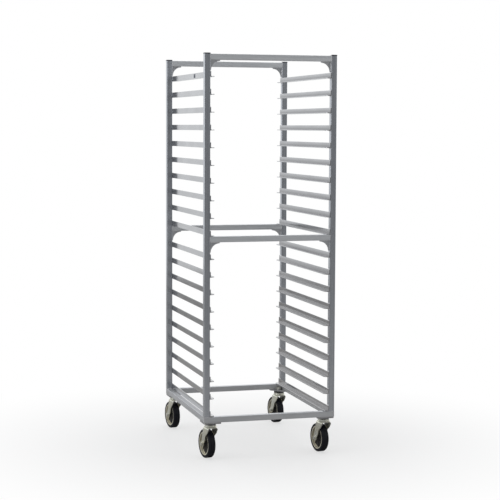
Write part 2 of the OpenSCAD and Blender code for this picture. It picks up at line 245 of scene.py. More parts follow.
def rounded_rectangle(width: float, depth: float, radius: float,
                      steps: int = CORNER_STEPS) -> np.ndarray:
    """Outline of a rectangle centred on the origin, each corner an arc of the given radius.

    Args:
        width: its size along X.
        depth: its size along Y.
        radius: radius of its corners.
        steps: points on each corner.

    Returns:
        Points by 2, counter-clockwise.
    """
    angle = np.linspace(0, np.pi / 2, steps)
    arc = radius * np.stack([np.cos(angle), np.sin(angle)], -1)
    turns = [np.array([[c, s], [-s, c]], float) for c, s in ((1, 0), (0, 1), (-1, 0), (0, -1))]
    reach = np.array([width, depth]) / 2 - radius
    centres = np.array([[1, 1], [-1, 1], [-1, -1], [1, -1]]) * reach
    return np.concatenate([arc @ turn + centre for turn, centre in zip(turns, centres)])


def arc_points(centre: Pair, radius: float, start: float, stop: float, steps: int) -> np.ndarray:
    """Points of an arc, its angles in degrees."""
    angle = np.radians(np.linspace(start, stop, steps))
    return np.array(centre) + radius * np.stack([np.cos(angle), np.sin(angle)], -1)


def bead(path: np.ndarray, normal: Vec, radius: float, closed: bool, seed: int,
         step: float = BEAD_STEP) -> Surface:
    """A weld bead along a path that lies across its normal.

    Ring s is p(s) + r(s) (cos a n + sin a (t(s) x n)), with
    r = radius (0.8 + 0.2 |sin(pi l / step)|) times a random draw, narrowing at open ends.

    Args:
        path: corners of the path, points by 3.
        normal: direction that is across the whole path.
        radius: the bead's full radius.
        closed: whether the path is a loop.
        seed: start of the random draw.
        step: length of one ripple.

    Returns:
        The surface.
    """
    corners = np.vstack([path, path[:1]]) if closed else path
    lengths = np.r_[0, np.cumsum(np.linalg.norm(np.diff(corners, axis=0), axis=1))]
    count = max(BEAD_LEAST, int(lengths[-1] / step * BEAD_RINGS))
    along = np.linspace(0, lengths[-1], count, endpoint=not closed)
    centre = np.stack([np.interp(along, lengths, corners[:, i]) for i in range(3)], -1)
    if closed:
        tangent = np.roll(centre, -1, 0) - np.roll(centre, 1, 0)
    else:
        tangent = np.gradient(centre, axis=0)
    tangent /= np.linalg.norm(tangent, axis=1)[:, None]
    up = np.array(normal, float)
    across = np.cross(tangent, up)
    draw = np.random.default_rng(seed).uniform(*BEAD_DRAW, count)
    size = radius * (1 - BEAD_SWELL + BEAD_SWELL * np.abs(np.sin(np.pi * along / step))) * draw
    if not closed:
        size = size * np.sqrt(np.clip(np.minimum(along, along[-1] - along) / radius, BEAD_TAPER, 1))
    angle = np.linspace(0, 2 * np.pi, BEAD_FACETS, endpoint=False)[None, :, None]
    around = np.cos(angle) * up + np.sin(angle) * across[:, None]
    rings = centre[:, None] + size[:, None, None] * around
    if closed:
        return grid(rings, np.zeros(1), loop_rows=True, loop_columns=True)
    return skin(rings, np.zeros(1))


def piece(name: str, surface: Surface, body: str, finish: "Finish",
          replaces: tuple[str, ...] = (), smooth: float = SMOOTH) -> bpy.types.Object:
    """Put a surface into the scene as one finished piece.

    Args:
        name: the piece's name.
        surface: its points and faces, in millimetres.
        body: the CAD body that it rides on.
        finish: its material.
        replaces: CAD nodes that it stands for.
        smooth: edges sharper than this many degrees stay sharp.

    Returns:
        The new object.
    """
    mesh = bpy.data.meshes.new(name)
    mesh.from_pydata((surface.points * MM).tolist(), [], surface.faces)
    wear = mesh.attributes.new("wear", "FLOAT", "POINT")
    wear.data.foreach_set("value", surface.wear.astype(np.float32))
    work = bmesh.new()
    work.from_mesh(mesh)
    bmesh.ops.remove_doubles(work, verts=work.verts, dist=MERGE)
    bmesh.ops.recalc_face_normals(work, faces=work.faces)
    work.to_mesh(mesh)
    work.free()
    mesh.shade_smooth()
    mesh.set_sharp_from_angle(angle=math.radians(smooth))
    obj = bpy.data.objects.new(name, mesh)
    bpy.context.scene.collection.objects.link(obj)
    weighted = obj.modifiers.new("even_shading", "WEIGHTED_NORMAL")
    weighted.keep_sharp = True
    mesh.materials.append(finish.material())
    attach(obj, body)
    if replaces:
        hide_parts(*replaces)
    LOG.info("%s: %d faces on %s", name, len(mesh.polygons), body)
    return obj


def dress(nodes: tuple[str, ...], finish: "Finish") -> None:
    """Give CAD nodes that keep their own shape a finish.

    Args:
        nodes: the nodes' names.
        finish: their material.
    """
    for name in nodes:
        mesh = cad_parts[name].data
        mesh.materials.clear()
        mesh.materials.append(finish.material())
        LOG.info("%s: finished as %s", name, finish.name)


def box_mm(node: str) -> tuple[np.ndarray, np.ndarray]:
    """Lowest and highest corner of a CAD node, in millimetres."""
    low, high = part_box(node)
    return np.array(low) / MM, np.array(high) / MM


# ---- Shader graphs ----

class Value:
    """A number socket of a shader graph, with arithmetic that adds Math nodes."""

    def __init__(self, graph: "Graph", socket: bpy.types.NodeSocket) -> None:
        """Wrap a socket of a graph."""
        self.graph = graph
        self.socket = socket

    def _math(self, operation: str, a: "Value | float", b: "Value | float",
              clamp: bool = False) -> "Value":
        """Add one Math node."""
        settings = {"operation": operation, "use_clamp": clamp}
        return self.graph.value("ShaderNodeMath", settings, {0: a, 1: b})

    def __add__(self, other: "Value | float") -> "Value":
        """self + other."""
        return self._math("ADD", self, other)

    __radd__ = __add__

    def __mul__(self, other: "Value | float") -> "Value":
        """self * other."""
        return self._math("MULTIPLY", self, other)

    __rmul__ = __mul__

    def __sub__(self, other: "Value | float") -> "Value":
        """self - other."""
        return self._math("SUBTRACT", self, other)

    def __rsub__(self, other: "Value | float") -> "Value":
        """other - self."""
        return self._math("SUBTRACT", other, self)

    def clipped(self) -> "Value":
        """self kept between 0 and 1."""
        return self._math("ADD", self, 0.0, clamp=True)

    def above(self, start: float, stop: float) -> "Value":
        """0 below start, 1 above stop, and smooth between.

        Args:
            start: where it begins to rise.
            stop: where it reaches 1.

        Returns:
            The mask.
        """
        return self.graph.value(
            "ShaderNodeMapRange", {"interpolation_type": "SMOOTHSTEP"},
            {"Value": self, "From Min": start, "From Max": stop},
        )


class Graph:
    """A material's node graph, from patterns to its Principled shader."""

    def __init__(self, name: str) -> None:
        """Start an empty material with Object coordinates."""
        self.material = bpy.data.materials.new(name)
        self.material.use_nodes = True
        self.tree = self.material.node_tree
        self.tree.nodes.clear()
        self.place = self.node("ShaderNodeTexCoord").outputs["Object"]

    def node(self, kind: str, settings: dict | None = None,
             inputs: dict | None = None) -> bpy.types.Node:
        """Add any node.

        Args:
            kind: the node's type.
            settings: its properties, set before its sockets.
            inputs: values, links or Values of its input sockets, by name or number.

        Returns:
            The node.
        """
        made = self.tree.nodes.new(kind)
        for key, setting in (settings or {}).items():
            setattr(made, key, setting)
        for key, given in (inputs or {}).items():
            socket = made.inputs[key]
            given = given.socket if isinstance(given, Value) else given
            if isinstance(given, bpy.types.NodeSocket):
                self.tree.links.new(given, socket)
            else:
                socket.default_value = given
        return made

    def value(self, kind: str, settings: dict | None = None, inputs: dict | None = None) -> Value:
        """Add a node and wrap its first output."""
        return Value(self, self.node(kind, settings, inputs).outputs[0])

    def stretched(self, scale: Vec) -> bpy.types.NodeSocket:
        """Object coordinates multiplied by a scale for each axis."""
        inputs = {0: self.place, 1: scale}
        return self.node("ShaderNodeVectorMath", {"operation": "MULTIPLY"}, inputs).outputs[0]

    def noise(self, scale: "Vec | float", detail: float = 3.0, rough: float = 0.55) -> Value:
        """Noise from 0 to 1.

        Args:
            scale: grains in a metre, for each axis or for all three.
            detail: octaves.
            rough: how much the finer octaves show.

        Returns:
            The noise.
        """
        vector = self.stretched(scale if isinstance(scale, tuple) else (scale, scale, scale))
        inputs = {"Vector": vector, "Scale": 1.0, "Detail": detail, "Roughness": rough}
        return self.value("ShaderNodeTexNoise", None, inputs)

    def height(self) -> Value:
        """Height above the floor, in metres."""
        return Value(self, self.node("ShaderNodeSeparateXYZ", None, {0: self.place}).outputs["Z"])

    def wear(self) -> Value:
        """The surface's own wear attribute, 0 where it has none."""
        attribute = self.node("ShaderNodeAttribute", {"attribute_name": "wear"})
        return Value(self, attribute.outputs["Fac"])

    def blend(self, mask: Value, low: "Colour | bpy.types.NodeSocket",
              high: "Colour | bpy.types.NodeSocket") -> bpy.types.NodeSocket:
        """Mix two colours.

        Args:
            mask: where the second colour shows, 0 to 1.
            low: the first colour.
            high: the second colour.

        Returns:
            The mixed colour.
        """
        mix = self.node("ShaderNodeMix", {"data_type": "RGBA"})
        self.tree.links.new(mask.clipped().socket, mix.inputs[0])
        for socket, colour in ((mix.inputs[6], low), (mix.inputs[7], high)):
            if isinstance(colour, bpy.types.NodeSocket):
                self.tree.links.new(colour, socket)
            else:
                socket.default_value = (*colour, 1.0)
        return mix.outputs[2]

    def bump(self, height: Value, strength: float, distance: float) -> bpy.types.NodeSocket:
        """A bumped normal."""
        inputs = {"Height": height, "Strength": strength, "Distance": distance}
        return self.node("ShaderNodeBump", None, inputs).outputs[0]

    def finish(self, colour: bpy.types.NodeSocket, roughness: Value, normal: bpy.types.NodeSocket,
               constants: dict[str, float]) -> bpy.types.Material:
        """Close the graph with a Principled shader.

        Args:
            colour: base colour.
            roughness: roughness.
            normal: normal.
            constants: other shader sockets and their fixed values.

        Returns:
            The material.
        """
        inputs = {"Base Color": colour, "Roughness": roughness.clipped(), "Normal": normal,
                  **constants}
        shader = self.node("ShaderNodeBsdfPrincipled", None, inputs)
        self.node("ShaderNodeOutputMaterial", None, {"Surface": shader.outputs[0]})
        return self.material


# ---- Finishes ----

@dataclass(frozen=True)
class Finish:
    """A finish that is made into a material once and then shared."""

    name: str

    def material(self) -> bpy.types.Material:
        """The finish as a Blender material."""
        return bpy.data.materials.get(self.name) or self.graph(Graph(self.name))

    def graph(self, g: Graph) -> bpy.types.Material:
        """Draw the finish; each kind has its own."""
        raise NotImplementedError


@dataclass(frozen=True)
class MillAluminium(Finish):
    """Extruded aluminium: die lines along its grain, cloudy oxide, scuffs and bright worn edges."""

    grain: Vec = (0.0, 0.0, 1.0)
    tone: Colour = (0.62, 0.63, 0.65)
    shade: Colour = (0.47, 0.48, 0.51)
    bright: Colour = (0.82, 0.83, 0.85)
    roughness: float = 0.36
    # Strength and colour of a darker tone towards the bottom, and the heights over which it fades
    # out.
    low_darkening: float = 0.0
    low_colour: Colour = (0.36, 0.33, 0.31)
    metallic: float = 1.0
    fine_grain: Pair = (6.0, 900.0)
    broad_grain: Pair = (1.2, 150.0)
    cloud_grain: float = 7.0
    scuff_grain: Vec = (85.0, 85.0, 60.0)
    darkening_heights: Pair = (0.05, 1.3)
    fine_share: float = 0.55

    def graph(self, g: Graph) -> bpy.types.Material:
        """Streaks run along the grain; clouds and scuffs lie over them."""
        fine, broad = (tuple(lengthwise if along else crosswise for along in self.grain)
                       for lengthwise, crosswise in (self.fine_grain, self.broad_grain))
        die_lines = g.noise(fine, 2.0)
        bands = g.noise(broad, 2.0)
        clouds = g.noise(self.cloud_grain, 3.0, 0.45)
        scuffs = g.noise(self.scuff_grain, 5.0, 0.7).above(0.66, 0.78)
        streaks = die_lines * self.fine_share + bands * (1 - self.fine_share)
        tone = g.blend(streaks.above(0.35, 0.65), self.shade, self.tone)
        tone = g.blend(clouds.above(0.45, 0.75) * 0.35, tone, self.shade)
        tone = g.blend(g.wear() * (0.35 + 0.5 * clouds), tone, self.bright)
        # Darker towards the bottom, mottled by the clouds.
        if self.low_darkening > 0:
            low = 1.0 - g.height().above(*self.darkening_heights)
            tone = g.blend(low * (0.4 + 0.9 * clouds) * self.low_darkening, tone, self.low_colour)
        rough = self.roughness - 0.05 + 0.08 * die_lines + 0.1 * clouds
        rough = rough + 0.08 * scuffs - 0.06 * g.wear()
        normal = g.bump(die_lines * 0.9 + scuffs * 0.1, 0.16, 0.0002)
        return g.finish(tone, rough, normal, {"Metallic": self.metallic})


@dataclass(frozen=True)
class WeldMetal(Finish):
    """Bright cast weld metal with a little soot."""

    def graph(self, g: Graph) -> bpy.types.Material:
        """Soot gathers in patches; the rest is bright."""
        soot = g.noise(220.0, 4.0)
        tone = g.blend(soot.above(0.45, 0.75), (0.93, 0.93, 0.94), (0.62, 0.62, 0.64))
        normal = g.bump(g.noise(900.0, 3.0), 0.4, 0.0004)
        return g.finish(tone, 0.24 + 0.3 * soot, normal, {"Metallic": 1.0})


@dataclass(frozen=True)
class ZincPlate(Finish):
    """Zinc-plated steel: spangle, a warm tint, and dull steel where the plate is rubbed."""

    tone: Colour = (0.76, 0.75, 0.66)
    tint: Colour = (0.83, 0.79, 0.62)
    rubbed: Colour = (0.5, 0.5, 0.49)
    roughness: float = 0.3

    def graph(self, g: Graph) -> bpy.types.Material:
        """Spangle cells and a slow tint under rubbed edges."""
        inputs = {"Vector": g.stretched((160.0, 160.0, 160.0)), "Scale": 1.0}
        spangle = g.value("ShaderNodeTexVoronoi", {"feature": "F1"}, inputs)
        tint = g.noise(24.0, 3.0)
        specks = g.noise(420.0, 3.0)
        tone = g.blend(tint.above(0.35, 0.7), self.tone, self.tint)
        tone = g.blend(g.wear() * tint.above(0.45, 0.6) * 0.7, tone, self.rubbed)
        tone = g.blend(specks.above(0.66, 0.74) * 0.6, tone, (0.33, 0.3, 0.26))
        rough = self.roughness + 0.1 * spangle + 0.12 * tint
        normal = g.bump(specks * 0.6 + spangle * 0.4, 0.15, 0.0003)
        return g.finish(tone, rough, normal, {"Metallic": 1.0})


@dataclass(frozen=True)
class BearingSteel(Finish):
    """Turned steel with an oily film."""

    tone: Colour = (0.34, 0.34, 0.35)
    oil: Colour = (0.12, 0.1, 0.08)

    def graph(self, g: Graph) -> bpy.types.Material:
        """Oil lies in patches over turned rings."""
        film = g.noise((70.0, 70.0, 110.0), 4.0)
        rings = g.noise((25.0, 25.0, 1400.0), 2.0)
        tone = g.blend(film.above(0.4, 0.7), self.tone, self.oil)
        normal = g.bump(rings, 0.25, 0.0002)
        return g.finish(tone, 0.28 + 0.25 * film, normal, {"Metallic": 0.9})


@dataclass(frozen=True)
class Bronze(Finish):
    """Sintered bronze."""

    def graph(self, g: Graph) -> bpy.types.Material:
        """Fine pores over a warm metal."""
        pores = g.noise(1500.0, 2.0)
        tone = g.blend(pores.above(0.4, 0.6), (0.42, 0.28, 0.14), (0.62, 0.44, 0.24))
        return g.finish(tone, 0.35 + 0.2 * pores, g.bump(pores, 0.3, 0.0002), {"Metallic": 1.0})


@dataclass(frozen=True)
class Moulding(Finish):
    """Moulded plastic or rubber: fine texture, slow mottling, dust, and paler rubbed edges."""

    tone: Colour = (0.8, 0.8, 0.8)
    mottle: Colour = (0.7, 0.7, 0.7)
    dust: Colour = (0.5, 0.48, 0.45)
    dusting: float = 0.2
    rubbed: Colour = (0.9, 0.9, 0.9)
    roughness: float = 0.45
    texture: float = 700.0
    relief: float = 0.2
    shine: float = 0.5

    def graph(self, g: Graph) -> bpy.types.Material:
        """Mottling, then dust, then rubbed edges."""
        mottle = g.noise(45.0, 4.0)
        grain = g.noise(self.texture, 2.0)
        settled = g.noise(130.0, 6.0, 0.65).above(0.48, 0.74)
        tone = g.blend(mottle.above(0.3, 0.7), self.tone, self.mottle)
        tone = g.blend(settled * self.dusting, tone, self.dust)
        tone = g.blend(g.wear() * (0.25 + 0.6 * settled), tone, self.rubbed)
        rough = self.roughness + 0.12 * mottle + 0.2 * settled
        normal = g.bump(grain, self.relief, 0.0004)
        return g.finish(tone, rough, normal, {"Specular IOR Level": self.shine})


POST_METAL = MillAluminium("post_mill_aluminium", (0, 0, 1), (0.67, 0.695, 0.74),
                           (0.52, 0.545, 0.59), roughness=0.2, metallic=0.95)
# Paler and part diffuse beside the post aluminium: painted light for the overhead light that the
# crosswise grain catches.
RAIL_METAL_PAINTED_LIGHT = MillAluminium("rail_aluminium_painted_light", (1, 0, 0), (0.88, 0.9, 0.92), (0.72, 0.74, 0.77),
                           (0.93, 0.94, 0.95), 0.48, metallic=0.75)
BASE_METAL = MillAluminium("base_mill_aluminium", (1, 0, 0), (0.84, 0.86, 0.89), (0.68, 0.7, 0.73),
                           roughness=0.36, low_darkening=0.2, metallic=0.8)
BASE_SIDE_METAL = MillAluminium("base_side_mill_aluminium", (0, 1, 0), (0.84, 0.86, 0.89),
                                (0.68, 0.7, 0.73), roughness=0.36, low_darkening=0.2, metallic=0.8)
LEDGE_METAL = MillAluminium("ledge_mill_aluminium", (0, 1, 0), (0.35, 0.35, 0.36),
                            (0.28, 0.28, 0.29), roughness=0.16, low_darkening=0.3)
GUSSET_METAL = MillAluminium("gusset_mill_aluminium", (1, 0, 0), (0.46, 0.48, 0.51),
                             (0.34, 0.36, 0.39), roughness=0.42)
PLATE_METAL = MillAluminium("caster_plate_mill_aluminium", (0, 1, 0), low_darkening=0.3, roughness=0.42)
WELD_METAL = WeldMetal("weld_metal")
FORK_ZINC = ZincPlate("fork_zinc_plate", (0.82, 0.83, 0.75), (0.86, 0.84, 0.7),
                      (0.5, 0.5, 0.48), 0.2)
BOLT_ZINC = ZincPlate("bolt_zinc_plate", (0.74, 0.74, 0.7), (0.8, 0.78, 0.68), roughness=0.26)
# Oily bearing steel toned near black: painted shade of the gap between plate and crown.
RACE_STEEL_PAINTED_SHADE = BearingSteel("race_steel_painted_shade", (0.13, 0.13, 0.14), (0.04, 0.035, 0.03))
BALL_STEEL = BearingSteel("ball_bearing_steel", (0.55, 0.55, 0.56))
SLEEVE_BRONZE = Bronze("sleeve_bronze_metal")
RIM_PLASTIC = Moulding("wheel_rim_plastic", (0.84, 0.79, 0.61), (0.77, 0.72, 0.55),
                       (0.36, 0.32, 0.25), 0.3,
                       (0.9, 0.87, 0.75), 0.38)
# Hub and web moulded near black: painted shade of the deep recess round the hub.
HUB_PAINTED_SHADE = Moulding("wheel_hub_painted_shade", (0.03, 0.03, 0.034), (0.045, 0.043, 0.042),
                       (0.16, 0.145, 0.12),
                       0.3, (0.12, 0.115, 0.105), 0.5)
TYRE_RUBBER = Moulding("wheel_tyre_rubber", (0.004, 0.005, 0.011), (0.006, 0.007, 0.014),
                       (0.06, 0.058, 0.056), 0.12, (0.016, 0.017, 0.022), 0.44, 900.0, 0.3, 0.26)
CAP_PLASTIC = Moulding("post_cap_plastic", (0.012, 0.015, 0.028), (0.018, 0.022, 0.036),
                       (0.2, 0.2, 0.2), 0.12, (0.09, 0.1, 0.13), 0.36, 800.0, 0.25, 0.5)
PLATE_FOIL = MillAluminium("data_plate_foil_metal", (0, 1, 0), (0.05, 0.06, 0.1),
                           (0.035, 0.042, 0.075),
                           (0.4, 0.42, 0.48), 0.3)


# ---- Frame ----

@dataclass
class TubeFrame:
    """Posts, cross rails and base frame, which keep their CAD shape, and their welds."""

    tube: float = 25.4
    weld_r: float = 2.3
    weld_inset: float = 1.75
    corner_r: float = 3.2
    fillet_r: float = 3.3
    stand_off: float = 0.4
    corner_in: float = 0.9
    inner_corner: float = 26.4
    inner_lap: float = 0.6
    inner_weld_r: float = 1.9
    mitre: float = 0.7071
    foot_seed: int = 50
    end_seed: int = 80
    outer_seed: int = 400
    inner_seed: int = 410

    def loop(self, steps: int = 6) -> np.ndarray:
        """The weld's path round a tube's end."""
        side = self.tube - 2 * self.weld_inset
        return rounded_rectangle(side, side, self.corner_r, steps)

    def post_welds(self, name: str, seed: int) -> list[Surface]:
        """A dressed bead round a post's foot, and a full one on each side along a base rail.

        Args:
            name: the post's node.
            seed: start of the beads' random draws.

        Returns:
            Three beads.
        """
        low, high = box_mm(name)
        x, y = (low + high)[:2] / 2
        loop = self.loop()
        ring = np.column_stack([loop[:, 0] + x, loop[:, 1] + y, np.full(len(loop), low[2])])
        made = [bead(ring, (0, 0, 1), self.weld_r, True, seed)]
        half, sx, sy = self.tube / 2, -math.copysign(1, x), -math.copysign(1, y)
        reach, lift = half + self.stand_off, low[2] + self.stand_off
        for k, (ax, ay) in enumerate(((1, 0), (0, 1))):
            middle = np.array([x + sx * ax * reach, y + sy * ay * reach, lift])
            run = np.array([ay, ax, 0]) * (half - self.fillet_r / 2)
            path = np.stack([middle - run, middle + run])
            made.append(bead(path, (0, 0, 1), self.fillet_r, False, seed + self.foot_seed + k))
        return made

    def rail_welds(self, name: str, seed: int) -> list[Surface]:
        """A dressed bead round each end of a cross rail, and full ones above and below it.

        Args:
            name: the rail's node.
            seed: start of the beads' random draws.

        Returns:
            Six beads.
        """
        low, high = box_mm(name)
        y, z = (low + high)[1:] / 2
        loop = self.loop()
        half = self.tube / 2
        made = []
        for k, (x, inwards) in enumerate(((low[0], 1), (high[0], -1))):
            ring = np.column_stack([np.full(len(loop), x), loop[:, 0] + y, loop[:, 1] + z])
            made.append(bead(ring, (1, 0, 0), self.weld_r, True, seed + k))
            for j, side in enumerate((-1, 1)):
                off = self.stand_off
                middle = np.array([x + inwards * off, y, z + side * (half + off)])
                run = np.array([0, half - self.fillet_r / 2, 0])
                path = np.stack([middle - run, middle + run])
                made.append(bead(path, (0, 0, 1), self.fillet_r, False,
                                 seed + self.end_seed + 2 * k + j))
        return made

    def mitre_welds(self) -> list[Surface]:
        """A bead down the outer corner and one down the inner corner of each base mitre."""
        low, high = box_mm("base_front_rail")
        rear_high = box_mm("base_rear_rail")[1]
        inset_by, under = self.weld_inset + self.corner_in, low[2] + self.weld_inset
        made = []
        corners = [(x, y) for x in (low[0], high[0]) for y in (low[1], rear_high[1])]
        for k, (x, y) in enumerate(corners):
            sx, sy = (1 if x < 0 else -1), (1 if y < 0 else -1)
            edge = (x + sx * inset_by, y + sy * inset_by)
            across = (sx * self.mitre, sy * -self.mitre, 0)
            path = np.array([[*edge, high[2] - 2], [*edge, under + 1]])
            made.append(bead(path, across, self.weld_r, False, self.outer_seed + k))
            start = np.array([x + sx * self.inner_corner, y + sy * self.inner_corner])
            path = np.array([[*start, low[2] + self.inner_lap],
                             [start[0] + sx * 1, start[1] + sy * 1, high[2] - self.inner_lap]])
            made.append(bead(path, across, self.inner_weld_r, False, self.inner_seed + k))
        return made

    def build(self) -> None:
        """Dress the tubes and lay the welds."""
        posts = tuple(f"{end}_{side}_post"
                      for end in ("front", "rear") for side in ("left", "right"))
        rails = tuple(f"{level}_{end}_rail"
                      for level in ("top", "middle") for end in ("front", "rear"))
        dress(posts, POST_METAL)
        dress(rails, RAIL_METAL_PAINTED_LIGHT)
        dress(("base_front_rail", "base_rear_rail"), BASE_METAL)
        dress(("base_left_rail", "base_right_rail"), BASE_SIDE_METAL)
        feet = [w for k, name in enumerate(posts) for w in self.post_welds(name, 10 + k)]
        piece("post_foot_welds", joined(feet), "frame", WELD_METAL,
              smooth=WELD_SMOOTH)
        ends = [w for k, name in enumerate(rails) for w in self.rail_welds(name, 30 + 2 * k)]
        piece("cross_rail_welds", joined(ends), "frame", WELD_METAL,
              smooth=WELD_SMOOTH)
        piece("base_mitre_welds", joined(self.mitre_welds()), "frame", WELD_METAL,
              smooth=WELD_SMOOTH)


@dataclass
class Ledges:
    """One bank of ten angle ledges, each carried as a profile from front to rear."""

    node: str
    side: Side
    flat: float = 22.2
    leg: float = 24.0
    thick: float = 3.2
    ease: float = 0.5
    fillet: float = 1.6
    end_r: float = 18.0
    count: int = 10
    weld_r: float = 2.5
    weld_lap: float = 0.2
    weld_ends: Pair = (1.5, 1.0)
    post: float = 25.4
    fillet_ring: tuple[int, ...] = (9, 10, 11, 12)

    def profile(self, width: np.ndarray) -> np.ndarray:
        """The L-shaped section for each width of its flat, with arcs at its corners and angle.

        Args:
            width: width of the flat at each ring.

        Returns:
            Rings by points by 2, across and up.
        """
        e, t, f = self.ease, self.thick, self.fillet
        fixed = [
            arc_points((e, e), e, 180, 270, 3), arc_points((-e, e), e, 270, 360, 3),
            arc_points((-e, t - e), e, 0, 90, 3), arc_points((t + f, t + f), f, 270, 180, 4),
            arc_points((t - e, self.leg - e), e, 0, 90, 3),
            arc_points((e, self.leg - e), e, 90, 180, 3),
        ]
        flat_edge = np.concatenate([np.full(len(part), float(k in (1, 2)))
                                    for k, part in enumerate(fixed)])
        section = np.concatenate(fixed)[None] + np.zeros((len(width), 1, 1))
        section[:, :, 0] += flat_edge * width[:, None]
        return section

    def ledge(self, depth: float) -> Surface:
        """One ledge with its back on x = 0 and its flat pointing to +X.

        The flat's width at distance d from an end, within the corner radius r, is
        flat - r + sqrt(r^2 - (r - d)^2).

        Args:
            depth: its length from front to rear.

        Returns:
            The ledge.
        """
        turn = np.linspace(0, np.pi / 2, 9)
        d = self.end_r * (1 - np.cos(turn))
        width = self.flat - self.end_r + self.end_r * np.sin(turn)
        middle = np.linspace(self.end_r, depth - self.end_r, 7)[1:-1]
        y = np.concatenate([d, middle, depth - d[::-1]])
        wide = np.concatenate([width, np.full(len(middle), self.flat), width[::-1]])
        section = self.profile(wide)
        across = np.broadcast_to(y[:, None], section.shape[:2])
        rings = np.stack([section[..., 0], across, section[..., 1]], -1)
        wear = np.ones(section.shape[1])
        wear[list(self.fillet_ring)] = 0.0
        return skin(rings, wear[None])

    def welds(self, depth: float, seed: int) -> list[Surface]:
        """Beads under the flat and on top of the leg at each end, where the ledge meets its post.

        Args:
            depth: the ledge's length.
            seed: start of the beads' random draws.

        Returns:
            Four beads.
        """
        made = []
        outer, inner = self.weld_ends
        lap = self.weld_lap
        ends = (outer, self.post - inner), (depth - self.post + inner, depth - outer)
        for k, (start, stop) in enumerate(ends):
            for j, z in enumerate((lap, self.leg - lap)):
                path = np.array([[lap, start, z], [lap, stop, z]])
                made.append(bead(path, (0, 0, 1), self.weld_r, False, seed + 2 * k + j))
        return made

    def build(self) -> None:
        """Build the bank and its welds."""
        low, high = box_mm(self.node)
        depth = high[1] - low[1]
        pitch = (high[2] - low[2] - self.leg) / (self.count - 1)
        back = low[0] if self.side is Side.LEFT else high[0]
        one = self.ledge(depth)
        beads = [self.welds(depth, 1000 + 10 * i) for i in range(self.count)]
        bank = joined([one.moved(z=i * pitch) for i in range(self.count)])
        seams = joined([w.moved(z=i * pitch) for i, row in enumerate(beads) for w in row])
        if self.side is Side.RIGHT:
            bank, seams = bank.mirrored(X), seams.mirrored(X)
        place = {"x": back, "y": low[1], "z": low[2]}
        piece(self.node + "_eased", bank.moved(**place), "frame", LEDGE_METAL,
              (self.node,))
        piece(self.node + "_welds", seams.moved(**place), "frame", WELD_METAL,
              smooth=WELD_SMOOTH)


@dataclass
class Gussets:
    """The pair of hollow-arc gussets under one cross rail."""

    node: str
    end_width: float = 5.0
    ease: float = 0.8
    arc_steps: int = 22
    weld_r: float = 2.3
    weld_lap: float = 0.3
    weld_start: float = 3.0
    weld_stop: float = 2.0
    seeds: tuple[int, int] = (600, 610)

    def outline(self, leg: float) -> np.ndarray:
        """Two legs from the corner, joined by a hollow arc about the far corner (leg, leg).

        Args:
            leg: length of each leg.

        Returns:
            The outline, points by 2.
        """
        hollow = leg - self.end_width
        arc = arc_points((leg, leg), hollow, 270, 180, self.arc_steps)
        return np.concatenate([[[0, 0], [leg, 0]], arc, [[0, leg]]])

    def build(self) -> None:
        """Build both gussets and their welds."""
        low, high = box_mm(self.node)
        leg = high[2] - low[2]
        half = (high[1] - low[1]) / 2
        upright = slab(self.outline(leg), -half, half, self.ease).swapped((X, Z, Y))
        one = upright.mirrored(Z, turn_faces=False)
        beads = []
        lap, start, stop = self.weld_lap, self.weld_start, leg - self.weld_stop
        for k, y in enumerate((-half, half)):
            upright = np.array([[lap, y, -start], [lap, y, -stop]])
            level = np.array([[start, y, -lap], [stop, y, -lap]])
            beads += [bead(path, (0, 1, 0), self.weld_r, False, seed + k)
                      for path, seed in zip((upright, level), self.seeds)]
        seams = joined(beads)
        y, z = (low[1] + high[1]) / 2, high[2]
        both = joined([one.moved(low[0], y, z), one.mirrored(X).moved(high[0], y, z)])
        lines = joined([seams.moved(low[0], y, z), seams.mirrored(X).moved(high[0], y, z)])
        piece(self.node + "_eased", both, "frame", GUSSET_METAL, (self.node,))
        piece(self.node + "_welds", lines, "frame", WELD_METAL,
              smooth=WELD_SMOOTH)


@dataclass
class PostCaps:
    """Moulded caps: a crowned square head over a plug in each post's open top."""

    head: float = 26.8
    thick: float = 5.0
    corner_r: float = 2.3
    ease: float = 1.1
    crown: float = 0.7
    plug: float = 21.9
    plug_l: float = 16.0

    def cap(self) -> Surface:
        """A cap with its seat on z = 0: each ring is the outline inset by i, at the crown's height.

        The crown rises as thick - crown (1 - u)^2, with u from 0 at the edge to 1 in the middle.
        """
        outline = rounded_rectangle(self.head, self.head, self.corner_r, 7)
        angle = np.linspace(0, np.pi / 2, 5)
        shoulder = self.thick - self.crown - self.ease
        layers = [(0.25, 0.0), (0.0, 0.25)]
        layers += [(self.ease * (1 - math.cos(a)), shoulder + self.ease * math.sin(a))
                   for a in angle]
        half = self.head / 2
        layers += [(i, self.thick - self.crown * (1 - (i - self.ease) / (half - self.ease)) ** 2)
                   for i in (2.0, 4.0, 6.5, 9.0)]
        flat = outline / half
        rings = []
        for i, z in layers:
            ring = inset(outline, i) if i < self.corner_r else flat * (half - i)
            rings.append(np.column_stack([ring, np.full(len(ring), z)]))
        wear = np.zeros((len(rings), 1))
        wear[3:6] = 1.0
        head = skin(np.stack(rings), wear)
        plug = slab(rounded_rectangle(self.plug, self.plug, 1.0, 4), -self.plug_l, 0.2, 0.6)
        return joined([head, plug])

    def build(self) -> None:
        """Build the four caps."""
        low, high = box_mm("post_caps")
        inset_by = self.head / 2
        seat = high[2] - self.thick
        one = self.cap()
        spots = [(x, y) for x in (low[0] + inset_by, high[0] - inset_by)
                 for y in (low[1] + inset_by, high[1] - inset_by)]
        caps = joined([one.moved(x, y, seat) for x, y in spots])
        piece("post_caps_crowned", caps, "frame", CAP_PLASTIC, ("post_caps",))


